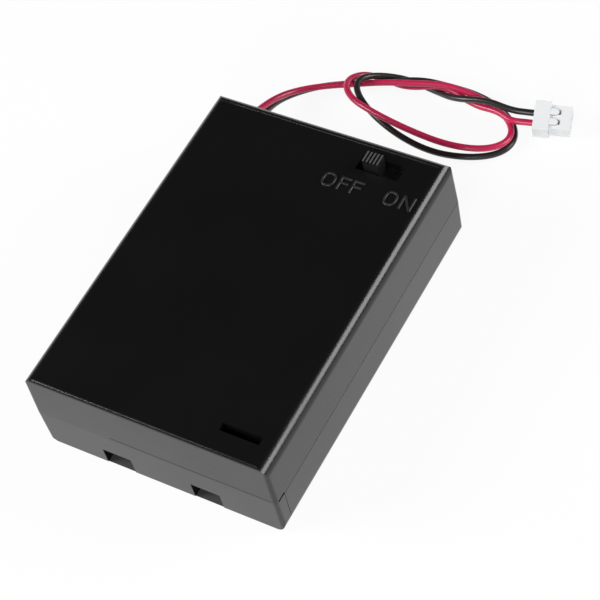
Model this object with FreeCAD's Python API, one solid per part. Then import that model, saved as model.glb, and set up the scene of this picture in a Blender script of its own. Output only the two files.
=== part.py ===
import FreeCAD, Part
import math
import os

V = FreeCAD.Vector
os.makedirs("parts", exist_ok=True)

# A closed holder for three AA cells in series. It lies on its lid, with the slide switch on top.
# +X is the width, +Y the length towards the switch and the leads, +Z up. Millimetres.
# The origin is the middle of the underside.

# The cells and the room that they get.
CELL_COUNT = 3
CELL_D = 14.5
CELL_LENGTH = 50.5
CELL_SIDE_PLAY = 0.8
CELL_TOP_PLAY = 1.15
CELL_SEAT_PLAY = 0.25
SPRING_ROOM = 4.1
BUTTON_H = 1.0

# The mouldings.
SIDE_WALL = 1.45
TOP_WALL = 1.5
LID_PLATE = 1.5
FRONT_WALL = 2.6
BACK_WALL = 1.45
PARTITION_T = 1.3
SWITCH_BAY_LENGTH = 7.45
SEAM_Z = 9.3
DRAFT_UPPER = 0.85
DRAFT_LOWER = 0.8
LONG_EDGE_R = 2.3
BACK_TOP_R = 1.9
FRONT_TOP_R = 0.6
BOTTOM_EDGE_R = 0.15
CORNER_R = 0.75
INNER_EDGE_R = 0.9

# What follows from them: the outside size and the inner faces.
BAY_PITCH = CELL_D + CELL_SIDE_PLAY
CELL_Z = LID_PLATE + CELL_TOP_PLAY + CELL_D / 2
PLATE_T = 0.3
BAY_LENGTH = CELL_LENGTH + SPRING_ROOM + BUTTON_H + 2 * PLATE_T
WIDTH = CELL_COUNT * BAY_PITCH + 2 * SIDE_WALL
LENGTH = FRONT_WALL + BAY_LENGTH + PARTITION_T + SWITCH_BAY_LENGTH + BACK_WALL
HEIGHT = LID_PLATE + CELL_D + 2 * CELL_TOP_PLAY + TOP_WALL
INNER_X = WIDTH / 2 - SIDE_WALL
FRONT_Y = -LENGTH / 2
FRONT_IN = FRONT_Y + FRONT_WALL
PARTITION_Y = FRONT_IN + BAY_LENGTH
SWITCH_BAY_Y = PARTITION_Y + PARTITION_T
BACK_IN = LENGTH / 2 - BACK_WALL
BACK_Y = LENGTH / 2
TOP_IN = HEIGHT - TOP_WALL
BAY_X = [(i - (CELL_COUNT - 1) / 2) * BAY_PITCH for i in range(CELL_COUNT)]

# The joint between tray and lid.
LID_GAP = 0.1
LIP_T = 0.55
LIP_H = 1.0
FOOT_GAP = 0.4
GROOVE_H = 0.45
GROOVE_DEPTH = 0.5
SEAM_LINE_H = 0.12
SEAM_LINE_DEPTH = 0.2

# The two notches in the front wall and the tongues in them.
NOTCH_X = 9.05
NOTCH_W = 5.85
NOTCH_H = 4.25
TONGUE_CLEAR = 0.2
TONGUE_T = 1.1
TONGUE_TOP_GAP = 0.25
TONGUE_SETBACK = 0.9
RISER_T = 1.5

# Ribs inside the bays.
DIVIDER_T = 1.2
RIB_T = 1.2
RIB_DEPTH = 4.4
LID_RIB_H = 2.6
RIB_PLACES = [0.3, 0.5, 0.7]

# The slot near the front right corner of the top.
MOULD_SLOT_W = 7.7
MOULD_SLOT_L = 1.5
MOULD_SLOT_FROM_FRONT = 5.05
MOULD_SLOT_FROM_SIDE = 7.55
MOULD_SLOT_X = WIDTH / 2 - MOULD_SLOT_FROM_SIDE
MOULD_SLOT_Y = FRONT_Y + MOULD_SLOT_FROM_FRONT
STOP_T = 1.1
STOP_DEPTH = 4.0

# The way out for the two leads, in the tray's back rim.
LEAD_D = 1.25
LEAD_PITCH = 1.6
LEAD_HOLE_PLAY = 0.1
LEAD_HOLE_FROM_SIDE = 1.85
LEAD_HOLE_X = LEAD_HOLE_FROM_SIDE - INNER_X
LEAD_Z = SEAM_Z + LEAD_D / 2 + LEAD_HOLE_PLAY

# The lid's screw, its pillar on the lid and its boss in the tray.
SCREW_D = 1.9
SCREW_PLAY = 0.07
SCREW_HEAD_D = 4.2
SCREW_HEAD_H = 1.5
SCREW_LENGTH = 7.5
SCREW_TIP = 1.0
SCREW_SEAT_Z = 2.2
HEAD_PLAY = 0.2
HOLE_PLAY = 0.3
BOSS_D = 4.8
BOSS_GAP = 0.1
PILLAR_D = 6.4
PILLAR_TOP = 4.3
PILOT_DEPTH = 6.5
BOSS_FROM_WALL = 0.05
SCREW_Y = BACK_IN - BOSS_D / 2 - BOSS_FROM_WALL

# The contact plates.
CONTACT_HALF_W = 5.0
CONTACT_BOTTOM = CELL_Z - 5.4
CONTACT_TOP = CELL_Z + 6.5
BUTTON_D = 5.6
BUTTON_TIP_D = 3.6
GUIDE_W = 1.4
GUIDE_DEPTH = 1.2
GUIDE_PLAY = 0.05
UPPER_GUIDE_Z = CELL_Z + 3.7
LOWER_GUIDE_TOP = CELL_Z - 3.3
TAG_W = 2.4
TAG_X = BAY_X[0] + 3.3
TAG_Z = CELL_Z + 3.4
TAG_REACH = 4.8
SLOT_PLAY = 0.25
SHELF_W = 1.6
SHELF_DEPTH = 1.5
SHELF_ARM_W = 2.0
SHELF_Z = CELL_Z + 0.1
SHELF_GAP = 0.3

# The cell springs.
SPRING_WIRE_D = 0.7
SPRING_BASE_R = 4.6
SPRING_TIP_R = 2.5
SPRING_FREE_LENGTH = 8.5
SPRING_TURNS = 3.5
POINTS_PER_TURN = 8

# The slide switch.
SWITCH_LENGTH = 14.0
SWITCH_WIDTH = 5.8
SWITCH_H = 4.6
SHEET_T = 0.3
EAR_LENGTH = 2.3
EAR_W = 3.0
SWITCH_FROM_SIDE = 0.85
SWITCH_FROM_WALL = 0.3
SWITCH_X = INNER_X - SWITCH_FROM_SIDE - EAR_LENGTH - SWITCH_LENGTH / 2
SWITCH_Y = SWITCH_BAY_Y + SWITCH_FROM_WALL + SWITCH_WIDTH / 2
POST_D = 1.5
POST_PLAY = 0.1
POST_HEAD_D = 2.2
POST_HEAD_H = 0.4
BOARD_T = 1.0
TERMINAL_PITCH = 3.0
TERMINAL_T = 0.5
TERMINAL_W = 1.8
TERMINAL_TAIL = 4.1
SPARE_TAIL = 1.1
TERMINAL_HEAD_T = 0.2
TERMINAL_HEAD_RIM = 0.2
EYELET_D = 0.9
EYELET_EDGE = 0.7
SLOT_W = 8.5
SLOT_DEPTH = 3.4
SHELL_SLOT_RIM = 0.2
KNOB_W = 3.1
KNOB_DEPTH = 2.4
KNOB_H = 2.3
KNOB_TRAVEL = 2.4
KNOB_RIBS = 5
KNOB_RIB_PITCH = 0.7
KNOB_GROOVE_W = 0.4
KNOB_GROOVE_DEPTH = 0.45
SLIDE_PLAY = 0.1
SLIDER_LENGTH = SWITCH_LENGTH - 2 * SHEET_T - KNOB_TRAVEL - 4 * SLIDE_PLAY
SLIDER_WIDTH = SWITCH_WIDTH - 2 * SHEET_T - 4 * SLIDE_PLAY
SLIDER_H = 1.7
WIPER_T = 0.2
WIPER_W = 2.4
WIPER_FOOT_R = 0.3
WIPER_GAP = 0.05
KNOB_X = SWITCH_X - KNOB_TRAVEL / 2

# The inner wire, from the front contact to the switch along the tray's right upper corner.
JUMPER_D = 1.2
DUCT_W = 1.75
DUCT_H = 2.4
DUCT_PLAY = 0.1
JUMPER_WAVE = [(0.15, -0.1), (0.3, 0.0), (0.56, 0.05), (0.79, 0.0)]
CORE_D = 0.9

# The plug on the leads: a two-way housing of 2.0 mm pitch, lying tilted on its lower edge.
PLUG_PITCH = 2.0
COLLAR_L = 3.0
COLLAR_W = 5.8
COLLAR_T = 4.2
NOSE_L = 4.0
NOSE_W = 4.8
NOSE_T = 3.4
CAVITY_PLAY = 0.05
CAVITY_END = 0.8
PIN_HOLE = 0.8
WINDOW_W = 0.9
WINDOW_L = 1.7
WINDOW_FROM_COLLAR = 0.3
LEAD_DEPTH = 2.0
PLUG_RUN = 1.2
BEFORE_PLUG = 4.5
PLUG_SPREAD = 0.06
CRIMP_D = 1.2
CRIMP_L = 1.2
RECEPTACLE_W = 1.3
RECEPTACLE_WALL = 0.2
PLUG_PLACE = FreeCAD.Placement(V(LEAD_HOLE_X + 47.45, BACK_Y + 26.6, 3.13),
                               FreeCAD.Rotation(16, 4.5, 18))


def box(x0, x1, y0, y1, z0, z1):
    return Part.makeBox(x1 - x0, y1 - y0, z1 - z0, V(x0, y0, z0))


def cylinder(radius, start, axis, length):
    return Part.makeCylinder(radius, length, start, axis)


def outline(corners, radii):
    """A closed wire through the corners, each rounded by its radius."""
    ends = []
    for i, radius in enumerate(radii):
        before, corner, after = [V(*corners[j % len(corners)]) for j in (i - 1, i, i + 1)]
        if not radius:
            ends.append((corner, None, corner))
            continue
        back = (before - corner).normalize()
        ahead = (after - corner).normalize()
        half = math.acos(back.dot(ahead)) / 2
        reach = radius / math.tan(half)
        centre = corner + (back + ahead).normalize() * (radius / math.sin(half))
        middle = centre - (back + ahead).normalize() * radius
        ends.append((corner + back * reach, middle, corner + ahead * reach))
    edges = []
    for (start, middle, end), (following, _, _) in zip(ends, ends[1:] + ends[:1]):
        if middle is not None:
            edges.append(Part.Arc(start, middle, end).toShape())
        edges.append(Part.makeLine(end, following))
    return Part.Wire(edges)


def prism(corners, radii, direction):
    return Part.Face(outline(corners, radii)).extrude(direction)


def tube(points, diameter):
    """Straight runs joined by tangent arcs, each as large as its two runs allow."""
    edges = []
    radii = []
    at = points[0]
    for before, corner, after in zip(points, points[1:], points[2:]):
        back = (before - corner).normalize()
        ahead = (after - corner).normalize()
        reach = 0.45 * min((before - corner).Length, (after - corner).Length)
        half = math.acos(max(-1, min(1, back.dot(ahead)))) / 2
        radius = reach * math.tan(half)
        bisector = (back + ahead).normalize()
        middle = corner + bisector * (radius / math.sin(half) - radius)
        edges.append(Part.LineSegment(at, corner + back * reach).toShape())
        edges.append(Part.Arc(corner + back * reach, middle, corner + ahead * reach).toShape())
        at = corner + ahead * reach
        radii.append(radius)
    edges.append(Part.LineSegment(at, points[-1]).toShape())
    path = Part.Wire(edges)
    ring = Part.Wire([Part.Circle(points[0], points[1] - points[0], diameter / 2).toShape()])
    solid = path.makePipeShell([ring], True, False)
    return solid, path.Length, radii


def moulding():
    """The whole outside of tray and lid: drafted both ways from the seam, with rounded edges."""
    rise = (HEIGHT - SEAM_Z) * math.tan(math.radians(DRAFT_UPPER))
    drop = SEAM_Z * math.tan(math.radians(DRAFT_LOWER))
    levels = [(0, -drop), (SEAM_Z, 0), (HEIGHT, -rise)]

    def section(half, radii, far, place):
        low, mid, top = [half + shift for _, shift in levels]
        pairs = [(-low, 0), (low, 0), (mid, SEAM_Z), (top, HEIGHT), (-top, HEIGHT), (-mid, SEAM_Z)]
        return prism([place(a, z) for a, z in pairs], radii, far)

    long_form = section(WIDTH / 2, [LONG_EDGE_R, LONG_EDGE_R, 0, LONG_EDGE_R, LONG_EDGE_R, 0],
                        V(0, 2 * LENGTH, 0), lambda a, z: (a, -LENGTH, z))
    cross_form = section(LENGTH / 2, [BOTTOM_EDGE_R, BOTTOM_EDGE_R, 0, BACK_TOP_R, FRONT_TOP_R, 0],
                         V(2 * WIDTH, 0, 0), lambda a, z: (-WIDTH, a, z))

    def plan(z, shift):
        x = WIDTH / 2 + shift
        y = LENGTH / 2 + shift
        return outline([(-x, -y, z), (x, -y, z), (x, y, z), (-x, y, z)], [CORNER_R] * 4)

    rings = [plan(z, shift) for z, shift in levels]
    lower = Part.makeLoft(rings[:2], True, True)
    upper = Part.makeLoft(rings[1:], True, True)
    return long_form.common(cross_form).common(lower.fuse(upper))


def cell_forms(play):
    """The room of each cell, as a round bar along its bay."""
    radius = CELL_D / 2 + play
    return [cylinder(radius, V(x, FRONT_IN, CELL_Z), V(0, 1, 0), BAY_LENGTH) for x in BAY_X]


def rib_stations():
    return [FRONT_IN + BAY_LENGTH * share for share in RIB_PLACES]


def wire_duct(y0, y1):
    return box(INNER_X - DUCT_W, INNER_X, y0, y1, TOP_IN - DUCT_H, TOP_IN)


def contact_edges():
    """The plates' left and right edges, with the wall that they stand on and its inward side."""
    left, right = -CONTACT_HALF_W, CONTACT_HALF_W
    return [(BAY_X[0] + left, BAY_X[1] + right, FRONT_IN, 1),
            (BAY_X[2] + left, BAY_X[2] + right, FRONT_IN, 1),
            (BAY_X[0] + left, BAY_X[0] + right, PARTITION_Y, -1),
            (BAY_X[1] + left, BAY_X[2] + right, PARTITION_Y, -1)]


def slab(x0, x1, wall, inward, near, far, z0, z1):
    """A block whose faces lie near and far from a wall, measured into the bay."""
    low, high = sorted((wall + inward * near, wall + inward * far))
    return box(x0, x1, low, high, z0, z1)


def contact_guides():
    """Upright guides that hold each plate by its two edges."""
    solids = []
    for left, right, wall, inward in contact_edges():
        slot = slab(left - GUIDE_PLAY, right + GUIDE_PLAY, wall, inward, 0, PLATE_T + GUIDE_PLAY,
                    0, CONTACT_TOP + GUIDE_PLAY)
        for edge in (left, right):
            for z0, z1 in ((CONTACT_BOTTOM, LOWER_GUIDE_TOP), (UPPER_GUIDE_Z, TOP_IN)):
                guide = slab(edge - GUIDE_W / 2, edge + GUIDE_W / 2, wall, inward, 0, GUIDE_DEPTH, z0, z1)
                solids.append(guide.cut(slot))
    return solids


def tray_ribs():
    """The dividers between the bays and the scalloped ribs that the cells lie against."""
    stop = PLATE_T + SPRING_WIRE_D
    forms = []
    for left, right in zip(BAY_X, BAY_X[1:]):
        x = (left + right) / 2
        forms.append(box(x - DIVIDER_T / 2, x + DIVIDER_T / 2, FRONT_IN + stop, PARTITION_Y - stop,
                         TOP_IN - RIB_DEPTH, TOP_IN))
    for y in rib_stations():
        rib = box(-INNER_X, INNER_X, y - RIB_T / 2, y + RIB_T / 2, TOP_IN - RIB_DEPTH, TOP_IN)
        forms.append(rib.cut(wire_duct(y - RIB_T, y + RIB_T)))
    ribs = forms[0].multiFuse(forms[1:])
    return ribs.cut(Part.makeCompound(cell_forms(CELL_SEAT_PLAY)))


def end_stop():
    """The rib that the slot's core forms: the front edge of a cell pushed far in meets it."""
    y = MOULD_SLOT_Y + MOULD_SLOT_L / 2 + LID_GAP
    half = MOULD_SLOT_W / 2
    return box(MOULD_SLOT_X - half, MOULD_SLOT_X + half, y, y + STOP_T, TOP_IN - STOP_DEPTH, TOP_IN)


def partition():
    """The wall between the cells and the switch, clear of the lid below the seam."""
    above_lip = SEAM_Z + LIP_H + LID_GAP
    wall = box(-INNER_X, INNER_X, PARTITION_Y, SWITCH_BAY_Y, above_lip, TOP_IN)
    foot = box(-INNER_X + FOOT_GAP, INNER_X - FOOT_GAP, PARTITION_Y, SWITCH_BAY_Y,
               LID_PLATE + BOSS_GAP, above_lip)
    slit = box(TAG_X - PLATE_T / 2 - SLOT_PLAY, TAG_X + PLATE_T / 2 + SLOT_PLAY,
               PARTITION_Y, SWITCH_BAY_Y, TAG_Z - TAG_W / 2 - SLOT_PLAY, TAG_Z + TAG_W / 2 + SLOT_PLAY)
    return wall.fuse(foot).cut(slit).cut(wire_duct(PARTITION_Y, SWITCH_BAY_Y))


def screw_boss():
    foot = PILLAR_TOP + BOSS_GAP
    boss = cylinder(BOSS_D / 2, V(0, SCREW_Y, foot), V(0, 0, 1), TOP_IN - foot)
    web = box(-RIB_T / 2, RIB_T / 2, SCREW_Y, BACK_IN, SEAM_Z + LIP_H + LID_GAP, TOP_IN)
    pilot = cylinder(SCREW_D / 2 + SCREW_PLAY, V(0, SCREW_Y, foot), V(0, 0, 1), PILOT_DEPTH)
    return boss.fuse(web).cut(pilot)


def post_places():
    reach = SWITCH_LENGTH / 2 + EAR_LENGTH / 2
    return [V(SWITCH_X + side * reach, SWITCH_Y, TOP_IN) for side in (-1, 1)]


def switch_posts():
    """Two posts through the switch's ears, with heads formed over them."""
    solids = []
    for place in post_places():
        post = cylinder(POST_D / 2, place, V(0, 0, -1), SHEET_T + POST_HEAD_H)
        head = cylinder(POST_HEAD_D / 2, place - V(0, 0, SHEET_T), V(0, 0, -1), POST_HEAD_H)
        solids.append(post.fuse(head))
    return solids


def switch_slot(rim, z0, z1):
    """The knob's slot; the one in the switch's shell is a rim wider all round."""
    half_w = SLOT_W / 2 + rim
    half_d = SLOT_DEPTH / 2 + rim
    return box(SWITCH_X - half_w, SWITCH_X + half_w, SWITCH_Y - half_d, SWITCH_Y + half_d, z0, z1)


def rim_space(outwards, z0, z1):
    """The room inside the side and back walls of the rim, grown outwards into them."""
    return box(-INNER_X - outwards, INNER_X + outwards, FRONT_IN, BACK_IN + outwards, z0, z1)


def lead_hole(y0, y1, grow=0.0):
    half = LEAD_PITCH / 2 + LEAD_D / 2 + LEAD_HOLE_PLAY + grow
    return box(LEAD_HOLE_X - half, LEAD_HOLE_X + half, y0, y1,
               SEAM_Z - 1, LEAD_Z + LEAD_D / 2 + LEAD_HOLE_PLAY)


def notches(clear, z1):
    half = NOTCH_W / 2 - clear
    return [box(side * NOTCH_X - half, side * NOTCH_X + half, FRONT_Y - 1, FRONT_IN, -1, z1)
            for side in (-1, 1)]


def tray():
    whole = moulding()
    lid_room = box(-WIDTH, WIDTH, FRONT_IN, LENGTH, -1, SEAM_Z)
    cavity = prism([(-INNER_X, FRONT_IN, -1), (INNER_X, FRONT_IN, -1),
                    (INNER_X, FRONT_IN, TOP_IN), (-INNER_X, FRONT_IN, TOP_IN)],
                   [0, 0, INNER_EDGE_R, INNER_EDGE_R], V(0, BACK_IN - FRONT_IN, 0))
    rebate = rim_space(LIP_T + LID_GAP, SEAM_Z - 1, SEAM_Z + LIP_H + LID_GAP)
    body = whole.cut(lid_room).cut(cavity).cut(rebate)
    for notch in notches(0, NOTCH_H):
        body = body.cut(notch)
    side = WIDTH / 2 - GROOVE_DEPTH
    for x0, x1 in ((-WIDTH, -side), (side, WIDTH)):
        body = body.cut(box(x0, x1, FRONT_Y + CORNER_R, FRONT_IN + LID_GAP,
                            SEAM_Z, SEAM_Z + GROOVE_H))
    inner = [partition(), tray_ribs(), end_stop(), screw_boss()] + contact_guides() + switch_posts()
    body = body.multiFuse(inner)
    body = body.cut(switch_slot(0, TOP_IN, HEIGHT + 1))
    body = body.cut(box(MOULD_SLOT_X - MOULD_SLOT_W / 2, MOULD_SLOT_X + MOULD_SLOT_W / 2,
                        MOULD_SLOT_Y - MOULD_SLOT_L / 2, MOULD_SLOT_Y + MOULD_SLOT_L / 2,
                        TOP_IN - 1, HEIGHT + 1))
    return body.cut(lead_hole(BACK_IN - 1, BACK_Y + 1))


def lid():
    """The lower half: plate, side and back walls, a lip into the tray's rim and two tongues."""
    start = FRONT_IN + LID_GAP
    shell = moulding().common(box(-WIDTH, WIDTH, start, LENGTH, -1, SEAM_Z))
    shell = shell.cut(box(-INNER_X, INNER_X, FRONT_Y, BACK_IN, LID_PLATE, SEAM_Z + 1))
    side = WIDTH / 2 - SEAM_LINE_DEPTH
    line = box(-WIDTH, WIDTH, FRONT_Y, LENGTH, SEAM_Z - SEAM_LINE_H, SEAM_Z + 1)
    shell = shell.cut(line.cut(box(-side, side, -LENGTH, BACK_Y - SEAM_LINE_DEPTH, 0, HEIGHT)))
    lip = rim_space(LIP_T, SEAM_Z - LIP_H, SEAM_Z + LIP_H).cut(rim_space(0, 0, HEIGHT))
    lip = lip.common(box(-WIDTH, WIDTH, start, LENGTH, 0, HEIGHT))
    lip = lip.cut(lead_hole(BACK_IN - 1, BACK_Y, LID_GAP))
    forms = [lip]
    top = NOTCH_H - TONGUE_TOP_GAP
    for tongue in notches(TONGUE_CLEAR, top):
        x0, x1 = tongue.BoundBox.XMin, tongue.BoundBox.XMax
        forms.append(box(x0, x1, FRONT_Y + TONGUE_SETBACK, start + RISER_T, top - TONGUE_T, top))
        forms.append(box(x0, x1, start, start + RISER_T, LID_PLATE, top))
    cells = Part.makeCompound(cell_forms(CELL_SEAT_PLAY))
    for y in rib_stations():
        rib = box(-INNER_X, INNER_X, y - RIB_T / 2, y + RIB_T / 2, LID_PLATE, LID_PLATE + LID_RIB_H)
        forms.append(rib.cut(cells))
    forms.append(cylinder(PILLAR_D / 2, V(0, SCREW_Y, LID_PLATE), V(0, 0, 1), PILLAR_TOP - LID_PLATE)
                 .common(box(-WIDTH, WIDTH, 0, BACK_IN, 0, HEIGHT)))
    body = shell.multiFuse(forms)
    recess = cylinder(SCREW_HEAD_D / 2 + HEAD_PLAY, V(0, SCREW_Y, -1), V(0, 0, 1), SCREW_SEAT_Z + 1)
    hole = cylinder(SCREW_D / 2 + HOLE_PLAY, V(0, SCREW_Y, 0), V(0, 0, 1), PILLAR_TOP + 1)
    return body.cut(recess).cut(hole).removeSplitter()


def lid_screw():
    head = cylinder(SCREW_HEAD_D / 2, V(0, SCREW_Y, SCREW_SEAT_Z), V(0, 0, -1), SCREW_HEAD_H)
    rim = [e for e in head.Edges if abs(e.BoundBox.ZMax - (SCREW_SEAT_Z - SCREW_HEAD_H)) < 0.01
           and abs(e.BoundBox.ZMin - e.BoundBox.ZMax) < 0.01]
    head = head.makeFillet(SCREW_HEAD_H / 3, rim)
    plain = SCREW_LENGTH - SCREW_TIP
    shank = cylinder(SCREW_D / 2, V(0, SCREW_Y, SCREW_SEAT_Z), V(0, 0, 1), plain)
    tip = Part.makeCone(SCREW_D / 2, SCREW_D / 6, SCREW_TIP, V(0, SCREW_Y, SCREW_SEAT_Z + plain))
    return head.multiFuse([shank, tip]).removeSplitter()


def button(x, wall, inward):
    """A dished button pressed out of a plate towards the cell."""
    axis = V(0, inward, 0)
    face = V(x, wall + inward * PLATE_T, CELL_Z)
    outer = Part.makeCone(BUTTON_D / 2, BUTTON_TIP_D / 2, BUTTON_H, face, axis)
    dish = Part.makeCone(BUTTON_D / 2 - PLATE_T, BUTTON_TIP_D / 2 - PLATE_T, BUTTON_H,
                         face - axis * PLATE_T, axis)
    return outer, dish


def contact_plate(index, button_bay=None, extras=()):
    left, right, wall, inward = contact_edges()[index]
    plate = slab(left, right, wall, inward, 0, PLATE_T, CONTACT_BOTTOM, CONTACT_TOP)
    if button_bay is not None:
        outer, dish = button(BAY_X[button_bay], wall, inward)
        plate = plate.fuse(outer).cut(dish)
    for extra in extras:
        plate = plate.fuse(extra)
    return plate.removeSplitter()


def solder_tag():
    """The tag of the back left plate, bent through the partition's slit."""
    return box(TAG_X - PLATE_T / 2, TAG_X + PLATE_T / 2, PARTITION_Y - PLATE_T, SWITCH_BAY_Y + TAG_REACH,
               TAG_Z - TAG_W / 2, TAG_Z + TAG_W / 2)


def wire_shelf():
    """The shelf of the front right plate that the inner wire stands on."""
    edge = BAY_X[2] + CONTACT_HALF_W
    end = INNER_X - SHELF_GAP
    arm = box(edge - 1, end, FRONT_IN, FRONT_IN + PLATE_T, SHELF_Z - SHELF_ARM_W, SHELF_Z)
    shelf = box(end - SHELF_W, end, FRONT_IN, FRONT_IN + SHELF_DEPTH, SHELF_Z - PLATE_T, SHELF_Z)
    return arm.fuse(shelf)


def coil_points(x, wall, inward):
    """One flat turn on the plate, then a cone of turns towards the cell."""
    first = PLATE_T + SPRING_WIRE_D / 2
    last = PLATE_T + SPRING_FREE_LENGTH - SPRING_WIRE_D / 2
    flat = POINTS_PER_TURN
    rising = round(SPRING_TURNS * POINTS_PER_TURN)
    points = []
    for step in range(flat + rising + 1):
        share = max(0, step - flat + 1) / (rising + 1)
        radius = SPRING_BASE_R + (SPRING_TIP_R - SPRING_BASE_R) * share
        angle = 2 * math.pi * step / POINTS_PER_TURN
        depth = first + (last - first) * share
        points.append(V(x + radius * math.cos(angle), wall + inward * depth,
                        CELL_Z + radius * math.sin(angle)))
    return points


def cell_spring(bay, wall, inward):
    points = coil_points(BAY_X[bay], wall, inward)
    return tube(points, SPRING_WIRE_D)[0]


def switch_shell():
    """A folded sheet frame: top with a slot, four sides and two ears."""
    x0, x1 = SWITCH_X - SWITCH_LENGTH / 2, SWITCH_X + SWITCH_LENGTH / 2
    y0, y1 = SWITCH_Y - SWITCH_WIDTH / 2, SWITCH_Y + SWITCH_WIDTH / 2
    floor = TOP_IN - SWITCH_H
    form = box(x0, x1, y0, y1, floor, TOP_IN)
    form = form.cut(box(x0 + SHEET_T, x1 - SHEET_T, y0 + SHEET_T, y1 - SHEET_T, floor, TOP_IN - SHEET_T))
    form = form.cut(switch_slot(SHELL_SLOT_RIM, TOP_IN - 2 * SHEET_T, TOP_IN))
    for place in post_places():
        ear = box(place.x - EAR_LENGTH / 2, place.x + EAR_LENGTH / 2,
                  place.y - EAR_W / 2, place.y + EAR_W / 2, TOP_IN - SHEET_T, TOP_IN)
        form = form.fuse(ear)
    for place in post_places():
        form = form.cut(cylinder(POST_D / 2 + POST_PLAY, place, V(0, 0, -1), 2 * SHEET_T))
    return form.removeSplitter()


BOARD_Z = TOP_IN - SWITCH_H
TERMINAL_X = [SWITCH_X + (i - 1) * TERMINAL_PITCH for i in range(3)]


def switch_board():
    """The insulating board that closes the switch from below."""
    x = SWITCH_LENGTH / 2 - SHEET_T
    y = SWITCH_WIDTH / 2 - SHEET_T
    board = box(SWITCH_X - x, SWITCH_X + x, SWITCH_Y - y, SWITCH_Y + y, BOARD_Z, BOARD_Z + BOARD_T)
    for place in TERMINAL_X:
        board = board.cut(terminal_blade(place, BOARD_Z - 1, GUIDE_PLAY))
    return board


def terminal_blade(x, z0, grow=0.0):
    return box(x - TERMINAL_T / 2 - grow, x + TERMINAL_T / 2 + grow,
               SWITCH_Y - TERMINAL_W / 2 - grow, SWITCH_Y + TERMINAL_W / 2 + grow,
               z0, BOARD_Z + BOARD_T)


def switch_terminal(x, tail):
    """A flat terminal: contact head on the board, blade through it and a solder eyelet."""
    blade = terminal_blade(x, BOARD_Z - tail)
    rim = TERMINAL_HEAD_RIM
    head = box(x - TERMINAL_T / 2 - rim, x + TERMINAL_T / 2 + rim,
               SWITCH_Y - TERMINAL_W / 2 - rim, SWITCH_Y + TERMINAL_W / 2 + rim,
               BOARD_Z + BOARD_T, BOARD_Z + BOARD_T + TERMINAL_HEAD_T)
    form = blade.fuse(head)
    if tail > SPARE_TAIL:
        eyelet = V(x - TERMINAL_T, SWITCH_Y, BOARD_Z - tail + EYELET_EDGE)
        form = form.cut(cylinder(EYELET_D / 2, eyelet, V(1, 0, 0), 2 * TERMINAL_T))
    return form


def switch_knob():
    """The slider inside the switch and the ribbed knob that stands out of the tray."""
    top = TOP_IN - SHEET_T - SLIDE_PLAY
    slider = box(KNOB_X - SLIDER_LENGTH / 2, KNOB_X + SLIDER_LENGTH / 2,
                 SWITCH_Y - SLIDER_WIDTH / 2, SWITCH_Y + SLIDER_WIDTH / 2, top - SLIDER_H, top)
    knob = box(KNOB_X - KNOB_W / 2, KNOB_X + KNOB_W / 2,
               SWITCH_Y - KNOB_DEPTH / 2, SWITCH_Y + KNOB_DEPTH / 2, top - SLIDER_H, HEIGHT + KNOB_H)
    form = slider.fuse(knob)
    for i in range(KNOB_RIBS - 1):
        x = KNOB_X + (i - (KNOB_RIBS - 2) / 2) * KNOB_RIB_PITCH
        form = form.cut(box(x - KNOB_GROOVE_W / 2, x + KNOB_GROOVE_W / 2,
                            SWITCH_Y - KNOB_DEPTH, SWITCH_Y + KNOB_DEPTH,
                            HEIGHT + KNOB_H - KNOB_GROOVE_DEPTH, HEIGHT + KNOB_H + 1))
    return form.removeSplitter()


def switch_wiper():
    """The bridge under the slider, with a rounded foot over each of two terminals."""
    top = TOP_IN - SHEET_T - SLIDE_PLAY - SLIDER_H
    foot_z = BOARD_Z + BOARD_T + TERMINAL_HEAD_T + WIPER_GAP + WIPER_FOOT_R
    y0, y1 = SWITCH_Y - WIPER_W / 2, SWITCH_Y + WIPER_W / 2
    span = TERMINAL_PITCH / 2
    form = box(KNOB_X - span - WIPER_T / 2, KNOB_X + span + WIPER_T / 2, y0, y1, top - WIPER_T, top)
    for side in (-1, 1):
        x = KNOB_X + side * span
        form = form.fuse(box(x - WIPER_T / 2, x + WIPER_T / 2, y0, y1, foot_z, top))
        form = form.fuse(cylinder(WIPER_FOOT_R, V(x, y0, foot_z), V(0, 1, 0), y1 - y0))
    return form.removeSplitter()


def in_plug(along, across, up=0.0):
    return PLUG_PLACE.multVec(V(along, across, up))


def plug_housing():
    """Collar and nose with two cavities, pin holes and the windows of the contacts' latches."""
    collar = box(0, COLLAR_L, -COLLAR_W / 2, COLLAR_W / 2, -COLLAR_T / 2, COLLAR_T / 2)
    nose = box(COLLAR_L, COLLAR_L + NOSE_L, -NOSE_W / 2, NOSE_W / 2, -NOSE_T / 2, NOSE_T / 2)
    form = collar.fuse(nose)
    end = COLLAR_L + NOSE_L - CAVITY_END
    half = LEAD_D / 2 + CAVITY_PLAY
    for side in (-1, 1):
        y = side * PLUG_PITCH / 2
        form = form.cut(box(-1, end, y - half, y + half, -half, half))
        form = form.cut(box(end - 1, COLLAR_L + NOSE_L + 1, y - PIN_HOLE / 2, y + PIN_HOLE / 2,
                            -PIN_HOLE / 2, PIN_HOLE / 2))
        x = COLLAR_L + WINDOW_FROM_COLLAR
        form = form.cut(box(x, x + WINDOW_L, y - WINDOW_W / 2, y + WINDOW_W / 2, 0, NOSE_T))
    form = form.removeSplitter()
    form.Placement = PLUG_PLACE
    return form


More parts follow.
